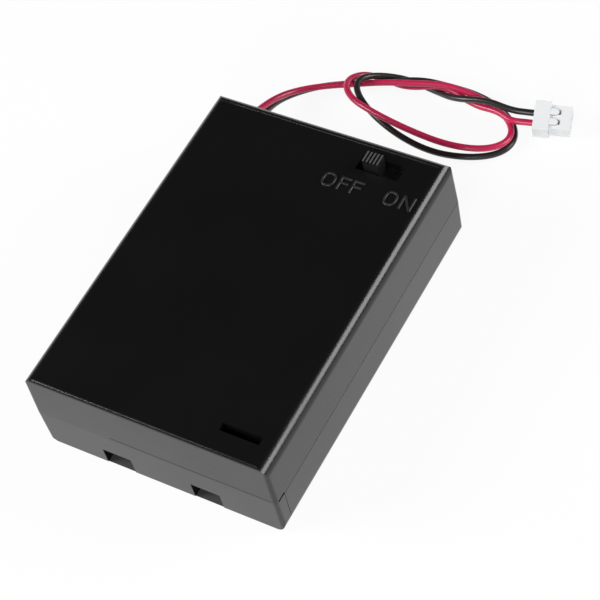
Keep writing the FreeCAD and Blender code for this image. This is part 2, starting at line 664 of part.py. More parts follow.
def crimp_contact(side):
    """A crimped barrel on the lead's end and a box that takes the mating pin."""
    y = side * PLUG_PITCH / 2
    start = LEAD_DEPTH + CRIMP_L
    end = COLLAR_L + NOSE_L - CAVITY_END - CAVITY_PLAY
    barrel = cylinder(CRIMP_D / 2, V(LEAD_DEPTH, y, 0), V(1, 0, 0), CRIMP_L)
    half = RECEPTACLE_W / 2
    inner = half - RECEPTACLE_WALL
    form = box(start, end, y - half, y + half, -half, half)
    form = form.cut(box(start + RECEPTACLE_WALL, end + 1, y - inner, y + inner, -inner, inner))
    form = form.fuse(barrel)
    form.Placement = PLUG_PLACE
    return form


# The leads' routes. Both start at their solder joints, leave the box through the hole in its back
# rim, run down to the surface and lie there in one loop before they reach the plug. Outside, x and
# y are measured from the hole's middle in the back face, and z from the surface.
RED_X = LEAD_HOLE_X - LEAD_PITCH / 2
BLACK_X = LEAD_HOLE_X + LEAD_PITCH / 2
RED_START = V(TAG_X - 2.0, SWITCH_BAY_Y + 4.0, TAG_Z)
BLACK_START = V(TERMINAL_X[1] - 4.2, SWITCH_Y - 0.1, BOARD_Z - 2.5)

RED_INSIDE = [
    RED_START, RED_START - V(3.6, 0, 0), V(LEAD_HOLE_X + 0.4, SWITCH_BAY_Y + 4.4, TAG_Z - 1.0),
    V(RED_X, BACK_IN - 1.25, LEAD_Z + 0.1), V(RED_X, BACK_Y + 0.8, LEAD_Z)]
BLACK_INSIDE = [
    BLACK_START, BLACK_START - V(3.4, 0, 0), V(2.2, SWITCH_BAY_Y + 1.8, LEAD_Z + 1.0),
    V(-1.4, SWITCH_BAY_Y + 1.2, LEAD_Z + 0.8), V(-6.0, SWITCH_BAY_Y + 1.5, LEAD_Z + 0.5),
    V(LEAD_HOLE_X + 10.1, SWITCH_BAY_Y + 1.9, LEAD_Z + 0.3),
    V(LEAD_HOLE_X + 5.9, SWITCH_BAY_Y + 2.6, LEAD_Z + 0.1), V(LEAD_HOLE_X + 2.7, BACK_IN - 3.65, LEAD_Z),
    V(BLACK_X + 0.1, BACK_IN - 1.25, LEAD_Z), V(BLACK_X, BACK_Y + 0.8, LEAD_Z)]
RED_OUTSIDE = [
    (-0.5, 4.5, 9.1), (0, 8.4, 7.6), (0.6, 12.5, 6.19), (1.8, 16.2, 4.69), (3.7, 19.1, 2.98),
    (6.1, 21.31, 1.78), (9.1, 23.01, 1.48), (12.8, 24.21, 1.89), (16.9, 25.31, 2.6),
    (21.1, 26.31, 3.22), (25.3, 27.31, 3.43), (29.3, 28.21, 2.94), (33.29, 28.5, 2.24),
    (37.39, 28.19, 1.95), (41.09, 26.88, 1.95), (43.69, 24.67, 1.85), (44.1, 21.67, 1.34),
    (42.2, 19.17, 0.83), (38.41, 17.48, 0.72), (33.41, 16.79, 0.91), (27.9, 16.69, 1.31),
    (22.3, 17.2, 1.81), (17.1, 17.9, 2.21), (12.5, 19.2, 2.81), (9.69, 21.51, 3.11),
    (9.09, 24.21, 2.71), (10.59, 26.3, 1.71), (13.7, 27.1, 0.91), (17.8, 27.2, 1.11),
    (21.81, 27.11, 1.71), (25.41, 27.03, 2.12), (28.91, 27.13, 2.03), (32.61, 26.83, 1.83),
    (36.51, 26.13, 2.32), (40.2, 25.22, 3.12)]
BLACK_OUTSIDE = [
    (1.1, 4.7, 9.3), (1.6, 8.6, 7.9), (1.9, 12.4, 5.6), (2.4, 15.99, 3.19), (3.4, 19.49, 1.39),
    (5.51, 22.09, 0.69), (8.71, 24.09, 0.79), (12.51, 25.49, 1.5), (16.51, 26.79, 2.4),
    (20.2, 28, 2.61), (24, 29.1, 2.11), (27.91, 30.01, 1.4), (32.21, 30.41, 0.8), (36.51, 29.82, 0.69),
    (40.61, 28.13, 0.68), (43.81, 25.63, 0.68), (45.3, 22.43, 0.67), (44.19, 19.12, 0.68),
    (40.89, 16.31, 0.68), (35.69, 14.69, 0.68), (29.59, 14.67, 0.69), (23.7, 15.85, 0.69),
    (18.6, 17.54, 0.7), (14.71, 19.54, 1.4), (12.02, 21.46, 2.4), (11.13, 23.52, 3.11),
    (12.1, 25.85, 3.01), (14.39, 27.75, 2.3), (17.68, 28.64, 1.39), (21.68, 28.22, 0.76),
    (25.78, 26.99, 0.65), (29.38, 25.67, 1.34), (32.89, 25.66, 3.05), (36.49, 26.06, 4.06),
    (39.8, 26.37, 4.27)]


def lead(name, inside, outside, side):
    """One lead as a plain tube: the chosen points, then straight into its cavity of the plug."""
    y = side * PLUG_PITCH / 2
    route = inside + [V(LEAD_HOLE_X + dx, BACK_Y + dy, z) for dx, dy, z in outside]
    route += [in_plug(-BEFORE_PLUG, y + side * PLUG_SPREAD), in_plug(-PLUG_RUN, y), in_plug(LEAD_DEPTH, y)]
    solid, length, radii = tube(route, LEAD_D)
    expected = math.pi * LEAD_D ** 2 / 4 * length
    print(name, "length", round(length, 1), "volume over section times length",
          round(solid.Volume / expected, 4), "arc radii", [round(r, 1) for r in radii])
    return solid


def jumper_wire():
    """The inner wire, which the ducts of the ribs hold along the right upper corner."""
    x = INNER_X - DUCT_W / 2
    z = TOP_IN - JUMPER_D / 2 - 3 * DUCT_PLAY
    shelf_x = INNER_X - SHELF_GAP - SHELF_W / 2
    shelf_y = FRONT_IN + SHELF_DEPTH / 2
    eyelet_x = TERMINAL_X[2] + TERMINAL_T / 2
    eyelet_z = BOARD_Z - TERMINAL_TAIL + EYELET_EDGE + EYELET_D
    points = [V(shelf_x, shelf_y, SHELF_Z), V(shelf_x, shelf_y, SHELF_Z + 2.6),
              V(x, FRONT_IN + 1.5, z - 1.6), V(x, FRONT_IN + 3.9, z - 0.2)]
    points += [V(x, FRONT_IN + BAY_LENGTH * share, z + lift) for share, lift in JUMPER_WAVE]
    points += [V(x, PARTITION_Y - 4.3, z - 0.1), V(x - 0.1, SWITCH_BAY_Y - 0.5, z - 0.35),
               V(x - 0.6, SWITCH_Y - 1.2, z - 1.9), V(x - 1.7, SWITCH_Y - 0.2, BOARD_Z - 0.9),
               V(eyelet_x + 2.4, SWITCH_Y, eyelet_z), V(eyelet_x, SWITCH_Y, eyelet_z)]
    solid, length, radii = tube(points, JUMPER_D)
    print("jumper_wire length", round(length, 1), "arc radii", [round(r, 1) for r in radii])
    return solid


def lead_core(start, end):
    """The bared, tinned end between a lead and what it is soldered to."""
    return cylinder(CORE_D / 2, start, end - start, (end - start).Length)


def save(name, shape):
    if len(shape.Solids) == 1:
        shape = shape.Solids[0]
    print(name, "valid" if shape.isValid() else "NOT VALID", "solids", len(shape.Solids),
          "volume", round(shape.Volume, 2))
    shape.exportStep("parts/" + name + ".step")


def build():
    save("tray", tray())
    save("lid", lid())
    save("lid_screw", lid_screw())
    save("contact_front_left", contact_plate(0, button_bay=1))
    save("contact_front_right", contact_plate(1, extras=[wire_shelf()]))
    save("contact_back_left", contact_plate(2, button_bay=0, extras=[solder_tag()]))
    save("contact_back_right", contact_plate(3, button_bay=2))
    save("cell_spring_left", cell_spring(0, FRONT_IN, 1))
    save("cell_spring_middle", cell_spring(1, PARTITION_Y, -1))
    save("cell_spring_right", cell_spring(2, FRONT_IN, 1))
    save("switch_shell", switch_shell())
    save("switch_board", switch_board())
    tails = [("spare", SPARE_TAIL), ("common", TERMINAL_TAIL), ("on", TERMINAL_TAIL)]
    for x, (name, tail) in zip(TERMINAL_X, tails):
        save("switch_terminal_" + name, switch_terminal(x, tail))
    save("switch_knob", switch_knob())
    save("switch_wiper", switch_wiper())
    save("jumper_wire", jumper_wire())
    save("red_lead", lead("red_lead", RED_INSIDE, RED_OUTSIDE, -1))
    save("black_lead", lead("black_lead", BLACK_INSIDE, BLACK_OUTSIDE, 1))
    save("red_lead_core", lead_core(RED_START, V(TAG_X - PLATE_T / 2, RED_START.y, RED_START.z)))
    common_face = V(TERMINAL_X[1] - TERMINAL_T / 2, BLACK_START.y, BLACK_START.z)
    save("black_lead_core", lead_core(BLACK_START, common_face))
    save("plug_housing", plug_housing())
    save("crimp_contact_red", crimp_contact(-1))
    save("crimp_contact_black", crimp_contact(1))
    print("outside", round(WIDTH, 2), round(LENGTH, 2), round(HEIGHT, 2))


build()
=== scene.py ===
import math

import bpy
import numpy as np
from mathutils import Matrix, Vector


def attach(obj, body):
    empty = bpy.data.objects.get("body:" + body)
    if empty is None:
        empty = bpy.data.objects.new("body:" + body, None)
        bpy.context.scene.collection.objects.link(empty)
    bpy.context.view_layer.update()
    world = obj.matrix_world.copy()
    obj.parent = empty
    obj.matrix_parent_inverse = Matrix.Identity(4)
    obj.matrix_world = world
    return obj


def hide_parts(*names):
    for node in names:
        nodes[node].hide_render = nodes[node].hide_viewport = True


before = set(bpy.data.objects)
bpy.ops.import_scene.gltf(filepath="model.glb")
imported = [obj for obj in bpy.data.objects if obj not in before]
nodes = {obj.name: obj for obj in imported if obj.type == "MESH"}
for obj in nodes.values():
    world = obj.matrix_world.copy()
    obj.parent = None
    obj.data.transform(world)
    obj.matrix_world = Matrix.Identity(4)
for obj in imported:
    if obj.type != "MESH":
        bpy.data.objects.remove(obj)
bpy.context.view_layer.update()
mm = 0.001
print("frame loaded:", len(nodes), "nodes")

cameraView = {
    "place": (158.08, -165.05, 309.52),          # millimetres
    "right": (0.865517, 0.472088, -0.167371),
    "down": (0.301830, -0.758250, -0.577889),
    "forward": (-0.399724, 0.449655, -0.798769),
    "lens": 127.45,
    "sensor": 36.0,
    "near": 0.01,                                # metres
    "far": 20,
}


def makeCamera(view):
    data = bpy.data.cameras.new("productCamera")
    data.lens = view["lens"]
    data.sensor_width = view["sensor"]
    data.clip_start = view["near"]
    data.clip_end = view["far"]
    camera = bpy.data.objects.new("productCamera", data)
    bpy.context.scene.collection.objects.link(camera)
    right, down, ahead = [Vector(view[key]).normalized() for key in ("right", "down", "forward")]
    turn = Matrix((right, -down, -ahead)).transposed().to_4x4()
    camera.matrix_world = Matrix.Translation(Vector(view["place"]) * mm) @ turn
    bpy.context.scene.camera = camera


makeCamera(cameraView)
print("camera placed")


def linkPiece(obj, body, slotName, *replaced):
    bpy.context.scene.collection.objects.link(obj)
    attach(obj, body)
    if replaced:
        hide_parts(*replaced)
    return obj


plugPose = {
    "place": (26.35, 61.1, 3.13),    # middle of the end that the leads enter, millimetres
    "yaw": 16.0,
    "pitch": 4.5,
    "roll": 18.0,
    "pinPitch": 2.0,
}
leads = {
    "diameter": 1.25,
    "depthInPlug": 2.0,              # each lead ends this far inside
    "runToPlug": 1.2,                # the last point before the plug lies this far from it
    "beforePlug": 4.5,               # and the one before that lies this far
    "spread": 0.06,
    "aroundSteps": 6,
    "alongSteps": 10,
    # each route goes from its solder joint through the hole in the back rim and round the loop
    "red": [
        (-14.0, 29.6, 13.3), (-17.6, 29.6, 13.3), (-20.7, 30.0, 12.3), (-21.9, 31.8, 10.12),
        (-21.9, 35.3, 10.02),
        (-22.4, 42.3, 6.84), (-21.7, 47.9, 4.56), (-19.2, 52.0, 3.07), (-15.2, 55.0, 2.49),
        (-10.1, 57.1, 2.70), (-4.8, 58.9, 3.38), (1.2, 60.4, 3.89), (7.5, 62.2, 4.03),
        (14.0, 62.4, 2.94), (19.3, 61.4, 1.87), (23.1, 58.4, 1.74), (23.7, 54.5, 2.07),
        (20.5, 50.9, 2.87), (14.3, 48.7, 4.12), (6.7, 48.4, 5.48), (-1.2, 49.3, 6.28),
        (-7.7, 51.3, 6.05), (-11.1, 55.5, 4.87), (-10.4, 60.0, 2.53), (-6.9, 62.1, 0.50),
        (-1.0, 61.0, 0.86), (6.4, 63.0, 2.72), (13.8, 60.8, 1.94), (19.0, 60.4, 2.99)],
    "black": [
        (8.6, 28.7, 11.2), (5.2, 28.7, 11.2), (2.2, 27.4, 11.02), (-1.4, 26.8, 10.82),
        (-6.0, 27.1, 10.52), (-11.0, 27.5, 10.32), (-15.2, 28.2, 10.12), (-18.4, 29.4, 10.02),
        (-20.2, 31.8, 10.02), (-20.3, 35.3, 10.02),
        (-21.7, 41.7, 5.70), (-22.5, 47.2, 3.13), (-20.8, 51.6, 1.74), (-17.0, 55.2, 1.46),
        (-11.1, 57.8, 1.82), (-4.5, 59.9, 2.36), (1.0, 63.0, 2.15), (7.3, 64.3, 1.02),
        (13.3, 64.4, 0.66), (18.9, 62.6, 0.65), (23.0, 59.5, 0.66), (24.3, 55.7, 0.65),
        (22.4, 52.1, 0.72), (17.6, 49.2, 1.23), (11.2, 47.4, 2.19), (4.1, 47.8, 3.70),
        (-2.6, 50.0, 5.06), (-7.5, 53.4, 5.61), (-9.0, 57.2, 4.89), (-6.4, 60.6, 3.09),
        (-1.5, 63.1, 1.03), (4.4, 62.6, 0.41), (10.0, 60.3, 2.86), (16.4, 61.0, 4.46)],
}


def plugMatrix(pose):
    # the plug's own X runs from the leads' end to its mouth; roll about X, then pitch about Y, then
    # yaw about Z
    turn = (Matrix.Rotation(math.radians(pose["yaw"]), 4, "Z")
            @ Matrix.Rotation(math.radians(pose["pitch"]), 4, "Y")
            @ Matrix.Rotation(math.radians(pose["roll"]), 4, "X"))
    return Matrix.Translation(Vector(pose["place"])) @ turn


plugPlace = plugMatrix(plugPose)


def inPlug(along, across, up=0.0):
    return tuple(plugPlace @ Vector((along, across, up)))


def leadPoints(key, side):
    # the chosen points, then straight into the lead's own cavity of the plug
    across = side * plugPose["pinPitch"] / 2
    return leads[key] + [inPlug(-leads["beforePlug"], across + side * leads["spread"]),
                         inPlug(-leads["runToPlug"], across),
                         inPlug(leads["depthInPlug"], across)]


def makeLead(name, points):
    curve = bpy.data.curves.new(name, "CURVE")
    curve.dimensions = "3D"
    # a curve's bounds grow by its points' radius, so the lead's real radius is held there
    curve.bevel_depth = 1
    curve.bevel_resolution = leads["aroundSteps"]
    curve.use_fill_caps = True
    spline = curve.splines.new("NURBS")
    spline.points.add(len(points) - 1)
    for point, place in zip(spline.points, points):
        point.co = (*[value * mm for value in place], 1)
        point.radius = leads["diameter"] / 2 * mm
    spline.order_u = 3
    spline.use_endpoint_u = True
    spline.resolution_u = leads["alongSteps"]
    return bpy.data.objects.new(name, curve)


def splineLength(curveObject):
    # the sum of the chords between the spline's own steps
    plain = curveObject.copy()
    plain.data = curveObject.data.copy()
    plain.data.bevel_depth = 0
    bpy.context.scene.collection.objects.link(plain)
    mesh = bpy.data.meshes.new_from_object(plain)
    flat = np.empty(len(mesh.vertices) * 3)
    mesh.vertices.foreach_get("co", flat)
    length = np.linalg.norm(np.diff(flat.reshape(-1, 3), axis=0), axis=1).sum()
    bpy.data.objects.remove(plain)
    return float(length)


redLead = linkPiece(makeLead("redLead", leadPoints("red", -1)),
                    "holder", "red_insulation", "red_lead")
blackLead = linkPiece(makeLead("blackLead", leadPoints("black", 1)),
                      "holder", "black_insulation", "black_lead")
splineLength(redLead)
splineLength(blackLead)
print("leads laid")


def newMaterial(name):
    material = bpy.data.materials.new(name)
    material.use_nodes = True
    tree = material.node_tree
    return material, tree, tree.nodes["Principled BSDF"]


def objectCoordinates(tree):
    return tree.nodes.new("ShaderNodeTexCoord").outputs["Object"]


def newGroup(name, labels, outputs):
    # a node group that reads a vector and the labelled numbers, with its start and end nodes
    group = bpy.data.node_groups.new(name, "ShaderNodeTree")
    face = group.interface
    face.new_socket("Vector", in_out="INPUT", socket_type="NodeSocketVector")
    for label in labels:
        face.new_socket(label, in_out="INPUT", socket_type="NodeSocketFloat")
    for label, kind in outputs.items():
        face.new_socket(label, in_out="OUTPUT", socket_type=kind)
    return group, group.nodes.new("NodeGroupInput"), group.nodes.new("NodeGroupOutput")


def placeGroup(tree, group, values):
    # the group in one material, on object coordinates and with that material's own numbers
    node = tree.nodes.new("ShaderNodeGroup")
    node.node_tree = group
    for label, value in values.items():
        node.inputs[label].default_value = value
    tree.links.new(objectCoordinates(tree), node.inputs["Vector"])
    return node


def mathNode(tree, operation, *values):
    # each value is a socket, which is linked, or a plain number
    node = tree.nodes.new("ShaderNodeMath")
    node.operation = operation
    for socket, value in zip(node.inputs, values):
        if isinstance(value, float):
            socket.default_value = value
        else:
            tree.links.new(value, socket)
    return node.outputs[0]


mouldGrain = {
    "sockets": {"Grain Scale": "grainScale", "Smudge Scale": "smudgeScale",
                "Roughness Low": "roughLow", "Roughness High": "roughHigh", "Strength": "grain"},
    "fineDetail": 2,
    "slowDetail": 3,
    "bumpDistance": 0.03,            # millimetres
    "slowFrom": 0.35,
    "slowTo": 0.65,
}


def makeGrainGroup(settings):
    # the grain of a spark-eroded mould: a fine noise is the bump's height, and a slow noise moves the
    # roughness between its low and high values
    group, start, end = newGroup("mouldedGrain", settings["sockets"],
                                 {"Normal": "NodeSocketVector", "Roughness": "NodeSocketFloat"})
    fine = group.nodes.new("ShaderNodeTexNoise")
    fine.inputs["Detail"].default_value = settings["fineDetail"]
    slow = group.nodes.new("ShaderNodeTexNoise")
    slow.inputs["Detail"].default_value = settings["slowDetail"]
    bump = group.nodes.new("ShaderNodeBump")
    bump.inputs["Distance"].default_value = settings["bumpDistance"] * mm
    spread = group.nodes.new("ShaderNodeMapRange")
    spread.inputs["From Min"].default_value = settings["slowFrom"]
    spread.inputs["From Max"].default_value = settings["slowTo"]
    link = group.links.new
    link(start.outputs["Vector"], fine.inputs["Vector"])
    link(start.outputs["Vector"], slow.inputs["Vector"])
    link(start.outputs["Grain Scale"], fine.inputs["Scale"])
    link(start.outputs["Smudge Scale"], slow.inputs["Scale"])
    link(start.outputs["Strength"], bump.inputs["Strength"])
    link(fine.outputs["Fac"], bump.inputs["Height"])
    link(bump.outputs["Normal"], end.inputs["Normal"])
    link(slow.outputs["Fac"], spread.inputs["Value"])
    link(start.outputs["Roughness Low"], spread.inputs["To Min"])
    link(start.outputs["Roughness High"], spread.inputs["To Max"])
    link(spread.outputs["Result"], end.inputs["Roughness"])
    return group


grainGroup = makeGrainGroup(mouldGrain)


def mouldedPlastic(name, settings):
    material, tree, shader = newMaterial(name)
    shader.inputs["Base Color"].default_value = (*settings["colour"], 1)
    shader.inputs["IOR"].default_value = settings["ior"]
    grain = placeGroup(tree, grainGroup,
                       {label: settings[key] for label, key in mouldGrain["sockets"].items()})
    tree.links.new(grain.outputs["Normal"], shader.inputs["Normal"])
    tree.links.new(grain.outputs["Roughness"], shader.inputs["Roughness"])
    return material


# noise scales count on coordinates in metres: 2600 gives a grain of about 0.4 mm
plastics = {
    "blackMoulding": {"colour": (0.0042, 0.0042, 0.0045), "ior": 1.5, "grainScale": 2600.0,
                      "smudgeScale": 60.0, "roughLow": 0.22, "roughHigh": 0.28, "grain": 0.6},
    "blackKnob": {"colour": (0.007, 0.007, 0.0075), "ior": 1.5, "grainScale": 4000.0,
                  "smudgeScale": 200.0, "roughLow": 0.36, "roughHigh": 0.44, "grain": 0.15},
    # painted highlight: black moulding made paler for the raised letters and the fine line on the top,
    # as if their shoulders catch the light
    "paintedHighlightMoulding": {"colour": (0.02, 0.02, 0.021), "ior": 1.5, "grainScale": 3500.0,
                      "smudgeScale": 200.0, "roughLow": 0.34, "roughHigh": 0.42, "grain": 0.15},
    "whiteNylon": {"colour": (0.76, 0.775, 0.785), "ior": 1.53, "grainScale": 3000.0,
                   "smudgeScale": 300.0, "roughLow": 0.4, "roughHigh": 0.5, "grain": 0.08},
    "redInsulation": {"colour": (0.56, 0.018, 0.085), "ior": 1.5, "grainScale": 2500.0,
                      "smudgeScale": 200.0, "roughLow": 0.26, "roughHigh": 0.34, "grain": 0.08},
    "blackInsulation": {"colour": (0.022, 0.020, 0.019), "ior": 1.5, "grainScale": 2500.0,
                        "smudgeScale": 200.0, "roughLow": 0.28, "roughHigh": 0.36, "grain": 0.08},
    "seamShadow": {"colour": (0.001, 0.001, 0.001), "ior": 1.25, "grainScale": 3000.0,
                   "smudgeScale": 300.0, "roughLow": 0.5, "roughHigh": 0.6, "grain": 0.08},
    # painted shade: a grey nylon for the strip round each lance, where the slot cut round it lies in
    # shade
    "nylonSlotShade": {"colour": (0.27, 0.28, 0.285), "ior": 1.5, "grainScale": 3000.0,
                  "smudgeScale": 300.0, "roughLow": 0.5, "roughHigh": 0.6, "grain": 0.08},
    "brownBoard": {"colour": (0.21, 0.10, 0.04), "ior": 1.5, "grainScale": 4000.0,
                   "smudgeScale": 600.0, "roughLow": 0.45, "roughHigh": 0.6, "grain": 0.2},
}
finish = {name: mouldedPlastic(name, settings) for name, settings in plastics.items()}

# painted highlight on the knob's rib tops: above the level the colour turns paler
ribTopHighlight = {
    "level": 22.0,                   # millimetres
    "fade": 0.06,
    "colour": (0.085, 0.085, 0.084),
}


def makeHeightGroup():
    # 0 below one level and 1 above another, rising evenly between them
    group, start, end = newGroup("heightMask", ("Level", "Full"), {"Mask": "NodeSocketFloat"})
    axes = group.nodes.new("ShaderNodeSeparateXYZ")
    ramp = group.nodes.new("ShaderNodeMapRange")
    group.links.new(start.outputs["Vector"], axes.inputs["Vector"])
    group.links.new(axes.outputs["Z"], ramp.inputs["Value"])
    group.links.new(start.outputs["Level"], ramp.inputs["From Min"])
    group.links.new(start.outputs["Full"], ramp.inputs["From Max"])
    group.links.new(ramp.outputs["Result"], end.inputs["Mask"])
    return group


def paintRibTopHighlight(material, settings):
    # the ribs' tops are painted paler than the rest of the knob: a painted highlight where they catch
    # the light
    tree = material.node_tree
    shader = tree.nodes["Principled BSDF"]
    mask = placeGroup(tree, makeHeightGroup(),
                      {"Level": settings["level"] * mm,
                       "Full": (settings["level"] + settings["fade"]) * mm})
    mix = tree.nodes.new("ShaderNodeMix")
    mix.data_type = "RGBA"
    mix.inputs["A"].default_value = shader.inputs["Base Color"].default_value
    mix.inputs["B"].default_value = (*settings["colour"], 1)
    tree.links.new(mask.outputs["Mask"], mix.inputs["Factor"])
    tree.links.new(mix.outputs["Result"], shader.inputs["Base Color"])


paintRibTopHighlight(finish["blackKnob"], ribTopHighlight)


def platedMetal(name, settings):
    # noise, stretched along the way that a plate was rolled, moves the roughness
    material, tree, shader = newMaterial(name)
    shader.inputs["Base Color"].default_value = (*settings["colour"], 1)
    shader.inputs["Metallic"].default_value = 1
    place = tree.nodes.new("ShaderNodeMapping")
    place.inputs["Scale"].default_value = settings["stretch"]
    noise = tree.nodes.new("ShaderNodeTexNoise")
    noise.inputs["Scale"].default_value = settings["scale"]
    spread = tree.nodes.new("ShaderNodeMapRange")
    spread.inputs["To Min"].default_value = settings["roughLow"]
    spread.inputs["To Max"].default_value = settings["roughHigh"]
    tree.links.new(objectCoordinates(tree), place.inputs["Vector"])
    tree.links.new(place.outputs["Vector"], noise.inputs["Vector"])
    tree.links.new(noise.outputs["Fac"], spread.inputs["Value"])
    tree.links.new(spread.outputs["Result"], shader.inputs["Roughness"])
    return material


metals = {
    "nickelPlate": {"colour": (0.66, 0.64, 0.60), "stretch": (1, 1, 0.1), "scale": 1500.0,
                    "roughLow": 0.2, "roughHigh": 0.42},
    "springWire": {"colour": (0.64, 0.63, 0.61), "stretch": (1, 1, 1), "scale": 2500.0,
                   "roughLow": 0.18, "roughHigh": 0.32},
    "zincScrew": {"colour": (0.55, 0.55, 0.56), "stretch": (1, 1, 0.3), "scale": 2500.0,
                  "roughLow": 0.22, "roughHigh": 0.4},
    "tinPlate": {"colour": (0.62, 0.62, 0.62), "stretch": (0.2, 1, 1), "scale": 1500.0,
                 "roughLow": 0.22, "roughHigh": 0.42},
    "solderTin": {"colour": (0.70, 0.70, 0.69), "stretch": (1, 1, 1), "scale": 900.0,
                  "roughLow": 0.12, "roughHigh": 0.3},
    "terminalBrass": {"colour": (0.74, 0.57, 0.29), "stretch": (1, 0.3, 1), "scale": 2000.0,
                      "roughLow": 0.2, "roughHigh": 0.38},
}
finish.update({name: platedMetal(name, settings) for name, settings in metals.items()})


def coat(obj, material):
    obj.data.materials.clear()
    obj.data.materials.append(material)


nodeFinish = {
    "tray": "blackMoulding", "lid": "blackMoulding", "switch_knob": "blackKnob",
    "plug_housing": "whiteNylon", "switch_board": "brownBoard",
    "contact_front_left": "nickelPlate", "contact_front_right": "nickelPlate",
    "contact_back_left": "nickelPlate", "contact_back_right": "nickelPlate",
    "cell_spring_left": "springWire", "cell_spring_middle": "springWire",
    "cell_spring_right": "springWire", "switch_shell": "tinPlate",
    "switch_terminal_spare": "terminalBrass", "switch_terminal_common": "terminalBrass",
    "switch_terminal_on": "terminalBrass", "switch_wiper": "terminalBrass",
    "jumper_wire": "blackInsulation", "red_lead_core": "tinPlate", "black_lead_core": "tinPlate",
    "crimp_contact_red": "tinPlate", "crimp_contact_black": "tinPlate",
}
for nodeName, finishName in nodeFinish.items():
    coat(nodes[nodeName], finish[finishName])
coat(redLead, finish["redInsulation"])
coat(blackLead, finish["blackInsulation"])
print("materials made")


def pointGrid(x, y, z):
    # a grid of points from coordinates that need not all change along both of its sides
    return np.stack(np.broadcast_arrays(x, y, z), axis=-1)


def meshObject(name, points, faces):
    mesh = bpy.data.meshes.new(name)
    mesh.from_pydata((points * mm).tolist(), [], faces)
    mesh.update()
    return bpy.data.objects.new(name, mesh)


lettering = {
    "stroke": 0.46,          # width of a stroke, millimetres
    "height": 3.0,           # of a stem
    "level": 19.8,           # the top that the letters stand on
    "rise": 0.26,
    "sunk": 0.05,            # a stroke's foot lies this far under the top
    "soft": 0.14,            # rounding of a stroke's top edges
    "softPoints": 4,
    "ringPower": 2.6,
    "ringPoints": 48,
    # a ring is the x of its middle, its width and its height; stems are given by their x
    "off": {"base": 21.7, "ring": (5.33, 2.65, 3.15), "stems": (7.54, 10.10), "topBar": 1.95,
            "middleBar": 1.7, "middleShare": 0.53},
    "on": {"base": 21.75, "ring": (17.7, 2.55, 3.2), "stems": (19.9, 21.95)},
}


def strokeGrid(path, closed, settings):
    # a raised stroke: every point of the path carries a profile that goes from under the top up one
    # side, round a quarter-circle shoulder, over the flat, and down the other side
    path = np.asarray(path, float)
    if closed:
        ahead = np.roll(path, -1, axis=0) - np.roll(path, 1, axis=0)
    else:
        ahead = np.gradient(path, axis=0)
    ahead /= np.linalg.norm(ahead, axis=1, keepdims=True)
    half, rise, soft = settings["stroke"] / 2, settings["rise"], settings["soft"]
    angle = np.linspace(0, np.pi / 2, settings["softPoints"])
    side = np.concatenate([[half], half - soft + soft * np.cos(angle)])
    height = np.concatenate([[-settings["sunk"]], rise - soft + soft * np.sin(angle)])
    offsets = np.concatenate([side, -side[::-1]])
    heights = np.concatenate([height, height[::-1]])
    return pointGrid(path[:, :1] - ahead[:, 1:] * offsets, path[:, 1:] + ahead[:, :1] * offsets,
                     settings["level"] + heights)


def gridFaces(rows, columns, closed):
    last = rows if closed else rows - 1
    i, j = np.meshgrid(np.arange(last), np.arange(columns - 1), indexing="ij")
    a = i * columns + j
    b = ((i + 1) % rows) * columns + j
    return np.stack([a, b, b + 1, a + 1], axis=-1).reshape(-1, 4)


def addStroke(store, path, closed, settings):
    # an open stroke gets an end face at each end, and a closed one joins its last row to its first
    grid = strokeGrid(path, closed, settings)
    offset = sum(len(part) for part in store["points"])
    rows, columns = grid.shape[:2]
    store["points"].append(grid.reshape(-1, 3))
    store["faces"] += (gridFaces(rows, columns, closed) + offset).tolist()
    if not closed:
        lastRow = offset + (rows - 1) * columns
        store["faces"].append(list(range(offset, offset + columns)))
        store["faces"].append(list(reversed(range(lastRow, lastRow + columns))))


def ringPath(word, settings):
    # the middle line of a letter O: a superellipse, half a stroke inside the letter's outer edge
    centreX, width, height = word["ring"]
    turn = np.linspace(0, 2 * np.pi, settings["ringPoints"], endpoint=False)
    power = 2 / settings["ringPower"]
    across = np.sign(np.cos(turn)) * np.abs(np.cos(turn)) ** power
    up = np.sign(np.sin(turn)) * np.abs(np.sin(turn)) ** power
    centreY = word["base"] + settings["height"] / 2
    return np.stack([centreX + (width - settings["stroke"]) / 2 * across,
                     centreY + (height - settings["stroke"]) / 2 * up], axis=1)


def makeLettering(settings):
    store = {"points": [], "faces": []}
    off, on = settings["off"], settings["on"]
    for word in (off, on):
        addStroke(store, ringPath(word, settings), True, settings)
    strokes = []
    low, high = off["base"], off["base"] + settings["height"]
    top = high - settings["stroke"] / 2
    middle = low + settings["height"] * off["middleShare"]
    for stem in off["stems"]:
        strokes.append(((stem, low), (stem, high)))
        strokes.append(((stem, top), (stem + off["topBar"], top)))
        strokes.append(((stem, middle), (stem + off["middleBar"], middle)))
    left, right = on["stems"]
    low, high = on["base"], on["base"] + settings["height"]
    strokes.append(((left, low), (left, high)))
    strokes.append(((left, high), (right, low)))
    strokes.append(((right, low), (right, high)))
    for stroke in strokes:
        addStroke(store, stroke, False, settings)
    return meshObject("offOnLettering", np.concatenate(store["points"]), store["faces"])


letters = linkPiece(makeLettering(lettering), "holder", "black_moulding")
coat(letters, finish["paintedHighlightMoulding"])
print("lettering raised")


